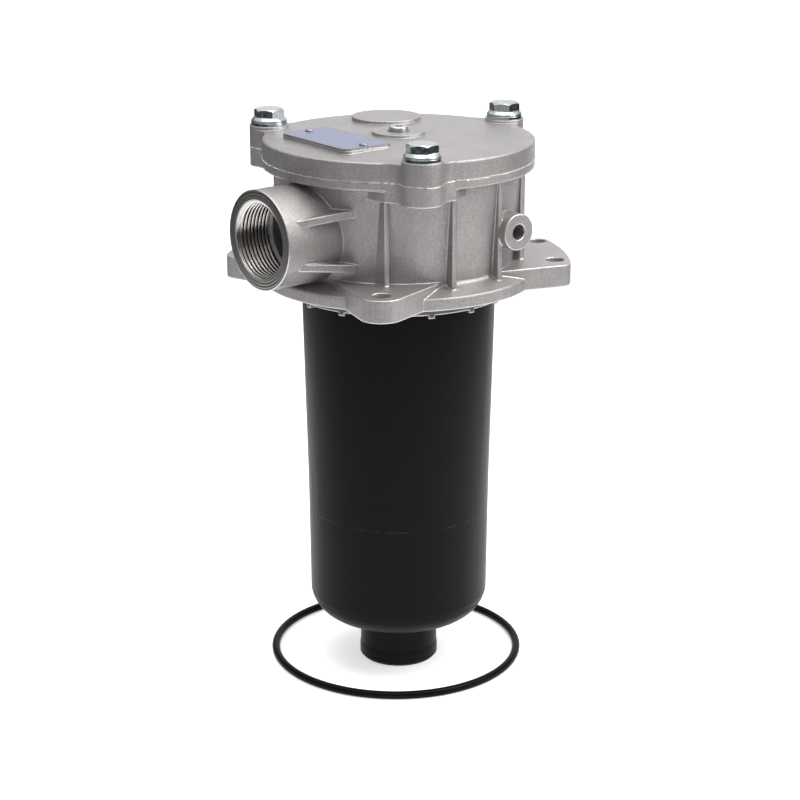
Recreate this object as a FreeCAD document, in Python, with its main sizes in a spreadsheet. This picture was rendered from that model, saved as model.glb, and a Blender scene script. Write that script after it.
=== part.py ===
"""Return line filter for the top of an oil tank.

A die-cast aluminium head with a threaded inlet, a three-bolt cover and a lugged mounting flange
carries a moulded bowl with an outlet spout. A pleated element with a bypass valve hangs inside.
Origin: centre of the mounting face, on the vertical axis. +Z points up, the inlet faces -X.
"""
import FreeCAD, Part
import math
import os

import Sketcher
from FreeCAD import Placement, Rotation, Vector

doc = FreeCAD.newDocument("return_line_filter")
sheet = doc.addObject("Spreadsheet::Sheet", "Sizes")

# Lengths are in millimetres and angles in degrees. Levels are heights above the mounting face.
SIZES = [
    ("joint_level", 68.1, "face between head and cover"),
    ("rim_radius", 74.0, "round part of the head flange and of the cover"),
    ("flange_thickness", 5.0, "top flange of the head"),
    ("bolt_circle_radius", 76.7, "cover bolts"),
    ("bolt_start_angle", 0.0, "direction of the first cover bolt, from +X"),
    ("ear_radius", 10.9, "round ear at each cover bolt"),
    ("ear_fillet", 11.0, "hollow curve between ear and rim"),
    ("ear_spread", 35.0, "half angle between the sides of an ear's root"),
    ("ear_height", 10.4, "ears of the head"),
    ("drum_top_radius", 66.4, "outside of the drum under the top flange"),
    ("drum_foot_radius", 62.8, "outside of the drum at the mounting flange"),
    ("drum_wall", 5.3, "wall of the drum"),
    ("floor_level", 9.0, "floor inside the head"),
    ("floor_bore_radius", 50.5, "opening in the floor for the element"),
    ("top_bore_radius", 61.5, "register for the cover"),
    ("top_bore_depth", 6.0, "register for the cover"),
    ("disc_radius", 74.5, "mounting flange"),
    ("disc_edge", 6.7, "thickness of the mounting flange at its edge"),
    ("disc_root", 9.8, "thickness of the mounting flange at the drum"),
    ("lug_height", 12.0, "bolting lugs"),
    ("tank_bolt_radius", 86.0, "holes in the lugs, from the axis"),
    ("tank_hole_radius", 5.25, "holes in the lugs"),
    ("lug_boss_radius", 11.3, "round end of a single lug"),
    ("lug_taper", 28.0, "half angle between the sides of a single lug"),
    ("lug_margin", 9.0, "metal beyond the hole of a double lug"),
    ("lug_shoulder", 13.5, "metal beside the first hole of a double lug"),
    ("lug_flare", 26.9, "slope of a double lug's first side"),
    ("lug_corner", 9.0, "corner of a double lug"),
    ("lug_swell", 2.6, "bulge of a double lug between its holes"),
    ("lug_far_margin", 7.0, "metal round the second hole of a double lug"),
    ("seat_radius", 57.2, "bore of the collar, round the bowl's flange"),
    ("spigot_wall", 2.2, "collar under the mounting face"),
    ("spigot_radius", "=seat_radius + spigot_wall", "collar under the mounting face"),
    ("spigot_length", 6.5, "collar under the mounting face"),
    ("seat_depth", 1.5, "top of the bowl's seat, below the mounting face"),
    ("pip_count", 15, "heads that are peened over the bowl's flange"),
    ("pip_height", 1.8, "heads below the collar"),
    ("tank_groove_radius", 69.9, "seal groove in the mounting face, mid line"),
    ("tank_groove_width", 5.2, "seal groove in the mounting face"),
    ("tank_groove_depth", 3.4, "seal groove in the mounting face"),
    ("cover_groove_radius", 64.8, "seal groove in the joint face, mid line"),
    ("cover_groove_width", 3.4, "seal groove in the joint face"),
    ("cover_groove_depth", 2.4, "seal groove in the joint face"),
    ("rib_thickness", 2.8, "upright ribs on the drum"),
    ("rib_reach", 68.0, "outer edge of the ribs, from the axis"),
    ("outer_rib_offset", 47.3, "outer ribs, from the middle plane"),
    ("inner_rib_offset", 15.9, "inner ribs, from the middle plane"),
    ("port_level", 34.6, "axis of the inlet and of the gauge boss"),
    ("port_radius", 26.7, "outside of the inlet"),
    ("port_reach", 93.7, "face of the inlet, from the axis"),
    ("port_thread_radius", 20.955, "major radius of the inlet thread"),
    ("port_thread_length", 20.7, "depth of the inlet thread"),
    ("port_mouth_radius", 21.3, "lead-in of the inlet thread"),
    ("port_bore_radius", 19.2, "passage behind the inlet thread"),
    ("web_thickness", 4.0, "webs between inlet and drum"),
    ("web_tip", 8.2, "tip of the webs, behind the face of the inlet"),
    ("web_spread", 11.4, "webs at their tip, above and below the inlet's axis"),
    ("web_slope", 6.3, "rise of the upper webs and fall of the lower ones towards the drum"),
    ("web_flare", 9.6, "width that a web gains from its tip to the drum"),
    ("gauge_offset", 24.2, "gauge boss, from the middle plane"),
    ("gauge_radius", 9.8, "gauge boss"),
    ("gauge_reach", 71.3, "face of the gauge boss, from the axis"),
    ("gauge_thread_radius", 4.3, "thread of the gauge boss"),
    ("gauge_thread_depth", 10.0, "thread of the gauge boss"),
    ("gauge_drill_radius", 2.5, "drilling from the gauge thread into the head"),
    ("thread_gap", 0.05, "between a screw and its tapped hole"),
    ("fit_gap", 0.25, "between pieces that drop into each other"),
    ("guide_gap", 0.05, "round the valve stem"),
    ("cut_margin", 2.0, "how far cuts run past the metal they open"),
    ("cover_edge", 10.2, "cover above the joint, at the rim"),
    ("cover_dome", 1.6, "rise of the cover from rim to middle"),
    ("cover_edge_round", 1.2, "top edge of the cover"),
    ("cover_register", 3.0, "depth of the cover's register in the head"),
    ("cover_web", 6.8, "cover above its hollow"),
    ("pad_level", 13.5, "machined pads of the cover, above the joint"),
    ("spot_level", 12.1, "bolt seats of the cover, above the joint"),
    ("centre_pad_radius", 14.6, "pad in the middle of the cover"),
    ("rear_pad_radius", 19.4, "second pad of the cover"),
    ("rear_pad_x", 24.0, "second pad of the cover"),
    ("rear_pad_y", 40.5, "second pad of the cover"),
    ("bolt_radius", 5.0, "cover bolts"),
    ("bolt_hole_radius", 5.5, "holes for the cover bolts in the cover"),
    ("bolt_length", 25.0, "cover bolts under the head"),
    ("bolt_head_height", 7.1, "cover bolts, flange and hexagon"),
    ("bolt_flange_radius", 9.9, "cover bolts"),
    ("bolt_flange_height", 1.9, "cover bolts"),
    ("hexagon_flats", 15.0, "cover bolts"),
    ("hexagon_turn", 7.0, "cover bolts, first corner from the outward direction"),
    ("washer_radius", 10.1, "washers of the cover bolts"),
    ("washer_thickness", 1.8, "washers of the cover bolts"),
    ("plate_length", 61.0, "nameplate"),
    ("plate_width", 31.0, "nameplate"),
    ("plate_thickness", 0.8, "nameplate"),
    ("plate_corner", 4.5, "nameplate"),
    ("plate_x", -39.6, "nameplate"),
    ("plate_y", 3.8, "nameplate"),
    ("plate_turn", -2.5, "nameplate"),
    ("rivet_spacing", 50.0, "rivets of the nameplate"),
    ("rivet_radius", 1.25, "rivets of the nameplate"),
    ("rivet_head_radius", 2.3, "rivets of the nameplate"),
    ("rivet_length", 4.0, "rivets of the nameplate"),
    ("plug_radius", 4.0, "vent plug in the middle of the cover"),
    ("plug_head_radius", 5.15, "vent plug"),
    ("plug_head_height", 2.0, "vent plug"),
    ("plug_length", 7.0, "vent plug, under its head"),
    ("plug_socket_flats", 4.0, "vent plug"),
    ("plug_seal_radius", 5.9, "sealing ring of the vent plug"),
    ("plug_seal_thickness", 0.6, "sealing ring of the vent plug"),
    ("element_top", 6.0, "top of the element, above the mounting face"),
    ("element_length", 178.0, "element from cap to cap"),
    ("element_drop", "=element_length - element_top", "foot of the element, below the mounting face"),
    ("bowl_ledge", 3.6, "bowl's flange beyond its wall, with the gap in the collar"),
    ("bowl_draft", 2.4, "draft of the bowl down to its waist"),
    ("bowl_low_draft", 0.7, "draft of the bowl below its waist"),
    ("bowl_top_radius", "=seat_radius - bowl_ledge", "outside of the bowl under its flange"),
    ("bowl_waist_radius", "=bowl_top_radius - bowl_draft", "outside of the bowl where its draft eases"),
    ("bowl_waist_level", 116.0, "same place, below the mounting face"),
    ("bowl_foot_radius", "=bowl_waist_radius - bowl_low_draft", "outside of the bowl above its rounded bottom"),
    ("bowl_foot_level", "=element_drop + 11.5", "same place, below the mounting face"),
    ("bowl_base_level", "=element_drop + 26.2", "flat underside of the bowl, below the mounting face"),
    ("bowl_base_radius", 31.0, "flat underside of the bowl"),
    ("spout_length", 27.8, "spout under the bowl"),
    ("bowl_drop", "=bowl_base_level + spout_length", "mouth of the spout, below the mounting face"),
    ("bowl_wall", 2.8, "wall of the bowl"),
    ("bowl_flange", 5.0, "height of the bowl's flange"),
    ("bowl_groove_height", 2.6, "seal groove round the bowl's flange"),
    ("bowl_groove_depth", 1.8, "seal groove round the bowl's flange"),
    ("spout_radius", 22.0, "outside of the spout"),
    ("spout_bead", 0.4, "bead at the mouth of the spout"),
    ("spout_bore_radius", 18.6, "bore of the spout"),
    ("socket_radius", 21.0, "tube that the element sits on, inside the bowl"),
    ("socket_level", "=element_drop + 5", "top of that tube, below the mounting face"),
    ("cap_gap", 4.7, "oil space between the element and the foot of the bowl"),
    ("cap_radius", "=bowl_foot_radius - bowl_wall - cap_gap", "end caps of the element"),
    ("cap_thickness", 4.0, "end caps of the element"),
    ("cap_skirt", 6.0, "rim of the end caps round the pleats"),
    ("cap_skirt_wall", 1.0, "rim of the end caps"),
    ("hub_length", 8.0, "hub of the lower cap"),
    ("hub_wall", 3.6, "hub of the lower cap"),
    ("hub_groove_height", 2.6, "seal groove of the lower cap"),
    ("hub_groove_depth", 2.0, "seal groove of the lower cap"),
    ("pleat_count", 40, "pleats of the element"),
    ("pleat_gap", 0.8, "between the pleats and the rim of the end caps"),
    ("pleat_outer_radius", "=cap_radius - cap_skirt_wall - pleat_gap", "pleats of the element"),
    ("pleat_inner_radius", 27.0, "pleats of the element"),
    ("pleat_thickness", 0.8, "pleats of the element"),
    ("core_radius", 26.4, "outside of the core tube"),
    ("core_wall", 0.8, "core tube"),
    ("window_height", 14.0, "openings of the core tube"),
    ("window_width", 12.0, "openings of the core tube"),
    ("window_pitch", 22.0, "openings of the core tube, row to row"),
    ("window_columns", 6, "openings of the core tube, round it"),
    ("valve_bore_radius", 14.0, "bypass opening in the upper cap"),
    ("poppet_radius", 16.4, "bypass poppet"),
    ("poppet_thickness", 2.5, "bypass poppet"),
    ("stem_radius", 3.0, "stem of the bypass poppet"),
    ("stem_length", 38.0, "stem of the bypass poppet, under its disc"),
    ("cage_radius", 20.5, "bypass cage"),
    ("cage_wall", 1.5, "bypass cage"),
    ("cage_depth", 34.0, "bypass cage"),
    ("cage_base", 2.5, "bypass cage"),
    ("cage_window_width", 16.0, "openings of the bypass cage"),
    ("bush_radius", 5.5, "guide of the valve stem"),
    ("bush_length", 5.0, "guide of the valve stem"),
    ("valve_spring_radius", 10.5, "bypass spring, mid line"),
    ("valve_wire", 1.8, "bypass spring"),
    ("valve_turns", 4.0, "bypass spring"),
    ("hold_spring_radius", 31.0, "hold-down spring, mid line"),
    ("hold_wire", 3.0, "hold-down spring"),
    ("hold_turns", 3.5, "hold-down spring"),
    ("tank_seal_radius", 70.5, "flange seal, mid line, as it lies loose"),
    ("tank_seal_section", 2.25, "flange seal, radius of its section"),
    ("tank_seal_x", 2.9, "flange seal as it lies loose"),
    ("tank_seal_y", 6.0, "flange seal as it lies loose"),
]
for row, (alias, value, note) in enumerate(SIZES, start=1):
    sheet.set(f"A{row}", note)
    sheet.set(f"B{row}", str(value))
    sheet.setAlias(f"B{row}", alias)
doc.recompute()


def size(alias):
    """Number in the sheet's cell of that name."""
    return float(sheet.get(alias))


def cell(expression):
    """Expression with each alias written out as a cell of the sheet."""
    words = expression.split()
    return " ".join(f"Sizes.{word}" if word[0].isalpha() else word for word in words)


def polar(radius, degrees):
    return Vector(radius * math.cos(math.radians(degrees)), radius * math.sin(math.radians(degrees)), 0)


def new_body(label):
    body = doc.addObject("PartDesign::Body", label)
    body.Label = label
    return body


def new_sketch(body, name, role, level="", turn=0.0):
    """Sketch on one of the body's own origin planes, raised along its normal by an expression."""
    plane = next(item for item in body.Origin.OriginFeatures if item.Role == role)
    sketch = body.newObject("Sketcher::SketchObject", name)
    sketch.AttachmentSupport = (plane, "")
    sketch.MapMode = "FlatFace"
    sketch.AttachmentOffset = Placement(Vector(0, 0, 0), Rotation(Vector(0, 0, 1), turn))
    if level:
        sketch.setExpression("AttachmentOffset.Base.z", cell(level))
    return sketch


def circle(sketch, centre, radius):
    """Circle whose radius follows an expression."""
    index = sketch.addGeometry(Part.Circle(Vector(*centre, 0), Vector(0, 0, 1), 1.0))
    sketch.addConstraint(Sketcher.Constraint("DistanceX", -1, 1, index, 3, centre[0]))
    sketch.addConstraint(Sketcher.Constraint("DistanceY", -1, 1, index, 3, centre[1]))
    constraint = sketch.addConstraint(Sketcher.Constraint("Radius", index, 1.0))
    sketch.setExpression(f"Constraints[{constraint}]", cell(radius))


def outline(sketch, start, *steps):
    """Closed outline: each step ends a straight side, or an arc when it also has a point to pass."""
    here = Vector(*start, 0)
    first = here
    for step in steps:
        there = Vector(*step[:2], 0)
        if len(step) == 4:
            sketch.addGeometry(Part.Arc(here, Vector(*step[2:], 0), there))
        else:
            sketch.addGeometry(Part.LineSegment(here, there))
        here = there
    if (here - first).Length > 1e-6:
        sketch.addGeometry(Part.LineSegment(here, first))


def sweep_round(body, sketch, name, kind="Revolution", axis="V_Axis"):
    feature = body.newObject(f"PartDesign::{kind}", name)
    feature.Profile = sketch
    feature.ReferenceAxis = (sketch, [axis])
    feature.Angle = 360
    sketch.Visibility = False
    return feature


def extrude(body, sketch, name, length, kind="Pad", reverse=False):
    feature = body.newObject(f"PartDesign::{kind}", name)
    feature.Profile = sketch
    feature.Reversed = reverse
    feature.setExpression("Length", cell(length))
    sketch.Visibility = False
    return feature


def cut(body, feature):
    """Recompute and make sure that a pocket or groove has taken metal away."""
    before = body.Shape.Volume
    doc.recompute()
    if not feature.Shape.Volume < before - 1e-3:
        raise RuntimeError(f"{feature.Label} cuts nothing")
    return feature


def repeat_round(body, features, name, count):
    pattern = body.newObject("PartDesign::PolarPattern", name)
    pattern.Originals = features
    pattern.Axis = (next(f for f in body.Origin.OriginFeatures if f.Role == "Z_Axis"), [""])
    pattern.Angle = 360
    if isinstance(count, str):
        pattern.setExpression("Occurrences", cell(count))
    else:
        pattern.Occurrences = count
    body.Tip = pattern
    return pattern


# Shared layout. The inlet runs along -X, the die for the outer form opens along Y, the cover bolts
# are 120 degrees apart and the tank bolts stand 45 degrees off the inlet.
joint = size("joint_level")
bolt_angles = [size("bolt_start_angle") + 120.0 * step for step in range(3)]
flange_underside = joint - size("flange_thickness")
first_tank_hole = 225.0
square_holes = [first_tank_hole + 90.0 * step for step in range(4)]
triangle_holes = [first_tank_hole + 120.0 * step for step in range(3)]
tank_holes = square_holes + triangle_holes[1:]


rim = size("rim_radius")
drum_top, drum_foot = size("drum_top_radius"), size("drum_foot_radius")
wall_middle = drum_foot - size("drum_wall") / 2


def root_point(point, direction, radius):
    """Place where a side, followed inwards from that point, comes down to a radius."""
    along = point.dot(direction)
    travel = -along - math.sqrt(along**2 - point.dot(point) + radius**2)
    return point + direction * travel


def ear_outline(sketch, root_radius):
    """One bolt ear with the hollow curves that lead it into the rim, pointing along +X."""
    ear, fillet, reach = size("ear_radius"), size("ear_fillet"), size("bolt_circle_radius")
    far = rim + fillet
    cosine = (far**2 + reach**2 - (ear + fillet) ** 2) / (2 * far * reach)
    upper = polar(far, math.degrees(math.acos(cosine)))
    centre = Vector(reach, 0, 0)
    on_rim = upper * (rim / far)
    on_ear = centre + (upper - centre).normalize() * ear
    hollow = upper + ((on_rim + on_ear) / 2 - upper).normalize() * fillet
    root = root_point(on_rim, polar(-1.0, -size("ear_spread")), root_radius)
    outline(
        sketch,
        (root.x, root.y),
        (on_rim.x, on_rim.y),
        (on_ear.x, on_ear.y, hollow.x, hollow.y),
        (on_ear.x, -on_ear.y, reach + ear, 0.0),
        (on_rim.x, -on_rim.y, hollow.x, -hollow.y),
        (root.x, -root.y),
        (root.x, root.y, root_radius, 0.0),
    )


# Head: a drum between a top flange with three ears and a mounting flange with four lugs.
head = new_body("filter_head")
round_edge = 1.2
bend = round_edge * (1.0 - math.sqrt(0.5))
disc, disc_edge, disc_root = size("disc_radius"), size("disc_edge"), size("disc_root")
profile = new_sketch(head, "head_profile", "XZ_Plane")
outline(
    profile,
    (0.0, joint),
    (rim, joint),
    (rim, flange_underside + round_edge),
    (rim - round_edge, flange_underside, rim - bend, flange_underside + bend),
    (drum_top + round_edge, flange_underside),
    (drum_top, flange_underside - round_edge, drum_top + bend, flange_underside - bend),
    (drum_foot + 0.1, disc_root + 2 * round_edge),
    (drum_foot + 2 * round_edge, disc_root - 0.3, drum_foot + 0.6 * round_edge, disc_root + 0.5 * round_edge),
    (disc - round_edge, disc_edge),
    (disc, disc_edge - round_edge, disc - bend, disc_edge - bend),
    (disc, 0.0),
    (size("spigot_radius"), 0.0),
    (size("spigot_radius"), -size("spigot_length")),
    (0.0, -size("spigot_length")),
)
sweep_round(head, profile, "head_solid")
doc.recompute()

# Each ear reaches below the top flange, with a flat underside and roots that spread along the drum.
ears = new_sketch(head, "ear_outline", "XY_Plane", "joint_level", turn=size("bolt_start_angle"))
ear_outline(ears, wall_middle)
ear_pad = extrude(head, ears, "ear", "ear_height", reverse=True)
doc.recompute()
repeat_round(head, [ear_pad], "ears", 3)
doc.recompute()

# Lugs start inside the drum wall. A single lug tapers to a round end, a double lug is a broad tongue
# whose first hole is on the square pattern and whose second is on the triangular one.
hole_reach = size("tank_bolt_radius")


def placed(points, degrees, mirrored):
    """Local outline steps turned to their lug; each step is a corner, or a corner and a passed point."""
    side = -1.0 if mirrored else 1.0
    turned = []
    for step in points:
        values = []
        for u, v in zip(step[0::2], step[1::2]):
            spot = polar(u, degrees) + polar(side * v, degrees + 90.0)
            values += [spot.x, spot.y]
        turned.append(tuple(values))
    return turned


def single_lug():
    taper, boss = math.radians(size("lug_taper")), size("lug_boss_radius")
    tangent = Vector(hole_reach + boss * math.sin(taper), boss * math.cos(taper), 0)
    root = root_point(tangent, Vector(-math.cos(taper), math.sin(taper), 0), wall_middle)
    return [
        (root.x, -root.y),
        (tangent.x, -tangent.y),
        (tangent.x, tangent.y, hole_reach + boss, 0.0),
        (root.x, root.y),
        (root.x, -root.y, wall_middle, 0.0),
    ]


def double_lug():
    flare, corner, far = size("lug_flare"), size("lug_corner"), size("lug_far_margin")
    end = hole_reach + size("lug_margin")
    sine, cosine = math.sin(math.radians(flare)), math.cos(math.radians(flare))
    middle_v = ((end - corner) * sine - (hole_reach * sine + size("lug_shoulder") - corner)) / cosine
    middle = Vector(end - corner, middle_v, 0)
    first = middle + polar(corner, flare - 90.0)
    corner_spot = middle + polar(corner, (flare - 90.0) / 2)
    first_root = root_point(first, polar(-1.0, flare), wall_middle)
    hole_step = triangle_holes[1] - square_holes[1]
    second = polar(hole_reach, hole_step)
    outer = polar(hole_reach + far, hole_step)
    back = hole_step - flare
    last = second + polar(far, 90.0 + back)
    last_spot = second + polar(far, (90.0 + back + hole_step) / 2)
    last_root = root_point(last, polar(-1.0, back), wall_middle)
    chord_middle = (Vector(end, middle_v, 0) + outer) / 2
    swell = chord_middle * (1.0 + size("lug_swell") / chord_middle.Length)
    inner_spot = polar(wall_middle, hole_step / 2)
    return [
        (first_root.x, first_root.y),
        (first.x, first.y),
        (end, middle_v, corner_spot.x, corner_spot.y),
        (outer.x, outer.y, swell.x, swell.y),
        (last.x, last.y, last_spot.x, last_spot.y),
        (last_root.x, last_root.y),
        (first_root.x, first_root.y, inner_spot.x, inner_spot.y),
    ]


lugs = new_sketch(head, "lug_outlines", "XY_Plane")
for degrees in (square_holes[0], square_holes[2]):
    outline(lugs, *placed(single_lug(), degrees, False))
outline(lugs, *placed(double_lug(), square_holes[1], False))
outline(lugs, *placed(double_lug(), square_holes[3], True))
extrude(head, lugs, "lugs", "lug_height")
doc.recompute()

# Upright ribs follow the opening direction of the die, on both sides of the drum.
ribs = new_sketch(head, "rib_outlines", "XY_Plane", "disc_edge")
half_rib = size("rib_thickness") / 2
for offset in (size("outer_rib_offset"), size("inner_rib_offset")):
    for x in (-offset, offset):
        for front in (-1.0, 1.0):
            far = front * math.sqrt(size("rib_reach") ** 2 - offset**2)
            near = front * math.sqrt(wall_middle**2 - offset**2)
            left, right = x - half_rib, x + half_rib
            outline(ribs, (left, near), (right, near), (right, far), (left, far))
extrude(head, ribs, "ribs", "joint_level - flange_thickness / 2 - disc_edge")
doc.recompute()

# Inlet along -X. A pair of webs on each side spreads from its barrel to the drum.
barrel = new_sketch(head, "inlet_outline", "YZ_Plane")
circle(barrel, (0.0, size("port_level")), "port_radius")
extrude(head, barrel, "inlet", "port_reach", reverse=True)
web_tip = size("port_reach") - size("web_tip")
barrel_side = math.sqrt(size("port_radius") ** 2 - size("web_spread") ** 2)
drum_side = barrel_side + size("web_flare")
heel = web_tip - math.sqrt((drum_top + drum_foot) ** 2 / 4 - drum_side**2)
buried = size("drum_wall") / 2
for name, side in (("upper", 1), ("lower", -1)):
    level = f"port_level + {side} * web_spread - web_thickness / 2"
    webs = new_sketch(head, f"{name}_web_outline", "XY_Plane", level)
    webs.AttachmentOffset = Placement(Vector(0, 0, 0), Rotation(Vector(0, 1, 0), -side * size("web_slope")))
    webs.setExpression("AttachmentOffset.Base.x", cell("web_tip - port_reach"))
    for front in (-1.0, 1.0):
        outline(
            webs,
            (0.0, front * barrel_side),
            (heel, front * drum_side),
            (heel + buried, front * (drum_side - buried)),
            (heel + buried, front * size("port_bore_radius")),
            (buried, front * size("port_bore_radius")),
        )
    extrude(head, webs, f"{name}_webs", "web_thickness")

# Gauge boss along -Y.
boss = new_sketch(head, "gauge_boss_outline", "XZ_Plane")
circle(boss, (size("gauge_offset"), size("port_level")), "gauge_radius")
extrude(head, boss, "gauge_boss", "gauge_reach")
doc.recompute()

# Hollow inside: bowl seat, floor opening, cavity and register for the cover.
cavity_foot, cavity_top = drum_foot - size("drum_wall"), drum_top - size("drum_wall")
floor_level, floor_bore = size("floor_level"), size("floor_bore_radius")
seat, seat_roof = size("seat_radius"), -size("seat_depth")
top_bore, top_bore_foot = size("top_bore_radius"), joint - size("top_bore_depth")
below, above = -size("spigot_length") - size("cut_margin"), joint + size("cut_margin")
floor_round = 2.0
floor_bend = floor_round * (1.0 - math.sqrt(0.5))
hollow = new_sketch(head, "cavity_profile", "XZ_Plane")
outline(
    hollow,
    (0.0, below),
    (seat, below),
    (seat, seat_roof),
    (floor_bore, seat_roof),
    (floor_bore, floor_level),
    (cavity_foot - floor_round, floor_level),
    (cavity_foot, floor_level + floor_round, cavity_foot - floor_bend, floor_level + floor_bend),
    (cavity_top, top_bore_foot - 1.0),
    (top_bore, top_bore_foot),
    (top_bore, above),
    (0.0, above),
)
cut(head, sweep_round(head, hollow, "cavity", "Groove"))

# Inlet bore: lead-in, thread, then the passage through the drum wall.
face = -size("port_reach")
mouth_r, thread_r, bore_r = size("port_mouth_radius"), size("port_thread_radius"), size("port_bore_radius")
thread_end = face + size("port_thread_length")
bore_start = face - size("cut_margin")
bore_end = -math.sqrt(cavity_foot**2 - bore_r**2) + size("cut_margin")
bore = new_sketch(head, "inlet_bore_profile", "XZ_Plane")
bore.setExpression("AttachmentOffset.Base.y", cell("port_level"))
outline(
    bore,
    (bore_start, 0.0),
    (bore_start, mouth_r),
    (face, mouth_r),
    (face + mouth_r - thread_r, thread_r),
    (thread_end, thread_r),
    (thread_end + thread_r - bore_r, bore_r),
    (bore_end, bore_r),
    (bore_end, 0.0),
)
cut(head, sweep_round(head, bore, "inlet_bore", "Groove", "H_Axis"))

thread = new_sketch(head, "gauge_thread_outline", "XZ_Plane", "gauge_reach")
circle(thread, (size("gauge_offset"), size("port_level")), "gauge_thread_radius")
cut(head, extrude(head, thread, "gauge_thread", "gauge_thread_depth", "Pocket"))
drilling = new_sketch(head, "gauge_drilling_outline", "XZ_Plane", "gauge_reach")
circle(drilling, (size("gauge_offset"), size("port_level")), "gauge_drill_radius")
cut(head, extrude(head, drilling, "gauge_drilling", "gauge_reach - drum_foot_radius / 2", "Pocket"))

taps = new_sketch(head, "cover_bolt_holes_outline", "XY_Plane", "joint_level")
for degrees in bolt_angles:
    spot = polar(size("bolt_circle_radius"), degrees)
    circle(taps, (spot.x, spot.y), "bolt_radius + thread_gap")
cut(head, extrude(head, taps, "cover_bolt_holes", "ear_height + cut_margin", "Pocket"))
holes = new_sketch(head, "tank_holes_outline", "XY_Plane", "lug_height")
for degrees in tank_holes:
    spot = polar(hole_reach, degrees)
    circle(holes, (spot.x, spot.y), "tank_hole_radius")
cut(head, extrude(head, holes, "tank_holes", "lug_height + cut_margin", "Pocket"))


def ring_profile(body, name, radius, width, low, high):
    """Rectangle to turn about the axis: a ring of that mid radius, width and pair of levels."""
    sketch = new_sketch(body, name, "XZ_Plane")
    near, beyond = radius - width / 2, radius + width / 2
    outline(sketch, (near, low), (beyond, low), (beyond, high), (near, high))
    return sketch


tank_groove = ring_profile(
    head, "tank_groove_profile", size("tank_groove_radius"), size("tank_groove_width"),
    -size("cut_margin"), size("tank_groove_depth"),
)
cut(head, sweep_round(head, tank_groove, "tank_groove", "Groove"))
cover_groove = ring_profile(
    head, "cover_groove_profile", size("cover_groove_radius"), size("cover_groove_width"),
    joint - size("cover_groove_depth"), above,
)
cut(head, sweep_round(head, cover_groove, "cover_groove", "Groove"))

# Cast heads round the collar, peened inwards under the bowl's flange.
pip = new_sketch(head, "pip_outline", "XY_Plane", "0 - spigot_length", turn=-87.8)
spigot, pip_tip, half_pip = size("spigot_radius"), seat - 1.6, 1.7
outline(pip, (pip_tip, -half_pip), (spigot, -half_pip), (spigot, half_pip), (pip_tip, half_pip))
first_pip = extrude(head, pip, "pip", "pip_height", reverse=True)
doc.recompute()
repeat_round(head, [first_pip], "pips", "pip_count")
doc.recompute()

# Cover: a domed lid with the head's outline, raised bolt seats and machined pads.
cover = new_body("cover")
top = joint + size("cover_edge")
crown = top + size("cover_dome")
soft = size("cover_edge_round")
register = size("top_bore_radius") - size("fit_gap")
hollow_roof = top - size("cover_web")
spring_boss = size("hold_spring_radius") - size("hold_wire") / 2 - size("fit_gap")
lid = new_sketch(cover, "cover_profile", "XZ_Plane")
outline(
    lid,
    (0.0, joint),
    (0.0, crown),
    (rim - soft, top, rim * 0.5, crown - size("cover_dome") * 0.25),
    (rim, top - soft, rim - 0.29 * soft, top - 0.29 * soft),
    (rim, joint),
    (register, joint),
    (register, joint - size("cover_register")),
    (register - 4.5, joint - size("cover_register")),
    (register - 6.0, hollow_roof),
    (spring_boss, hollow_roof),
    (spring_boss, joint),
)
sweep_round(cover, lid, "lid")
doc.recompute()
lid_ear = new_sketch(cover, "cover_ear_outline", "XY_Plane", "joint_level", turn=size("bolt_start_angle"))
ear_outline(lid_ear, size("cover_groove_radius"))
lid_ear_pad = extrude(cover, lid_ear, "cover_ear", "cover_edge")
seat_spot = new_sketch(
    cover, "bolt_seat_outline", "XY_Plane", "joint_level + spot_level", turn=size("bolt_start_angle")
)
circle(seat_spot, (size("bolt_circle_radius"), 0.0), "ear_radius")
seat_pad = extrude(cover, seat_spot, "bolt_seat", "spot_level - cover_edge + cut_margin", reverse=True)
doc.recompute()
repeat_round(cover, [lid_ear_pad, seat_pad], "cover_ears", 3)
doc.recompute()
pads = new_sketch(cover, "pad_outlines", "XY_Plane", "joint_level + pad_level")
circle(pads, (0.0, 0.0), "centre_pad_radius")
circle(pads, (size("rear_pad_x"), size("rear_pad_y")), "rear_pad_radius")
extrude(cover, pads, "pads", "pad_level - cover_edge + 1", reverse=True)
doc.recompute()


def plate_outline(sketch, grow=0.0):
    """Rounded rectangle of the nameplate, with grow added all round."""
    half_x, half_y = size("plate_width") / 2 + grow, size("plate_length") / 2 + grow
    corner = size("plate_corner") + grow
    bend = corner * (1.0 - math.sqrt(0.5))
    outline(
        sketch,
        (-half_x + corner, -half_y),
        (half_x - corner, -half_y),
        (half_x, -half_y + corner, half_x - bend, -half_y + bend),
        (half_x, half_y - corner),
        (half_x - corner, half_y, half_x - bend, half_y - bend),
        (-half_x + corner, half_y),
        (-half_x, half_y - corner, -half_x + bend, half_y - bend),
        (-half_x, -half_y + corner),
        (-half_x + corner, -half_y, -half_x + bend, -half_y + bend),
    )


def plate_sketch(body, name, level):
    """Sketch whose origin is the middle of the nameplate."""
    sketch = new_sketch(body, name, "XY_Plane", level, turn=size("plate_turn"))
    sketch.setExpression("AttachmentOffset.Base.x", cell("plate_x"))
    sketch.setExpression("AttachmentOffset.Base.y", cell("plate_y"))
    return sketch


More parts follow.
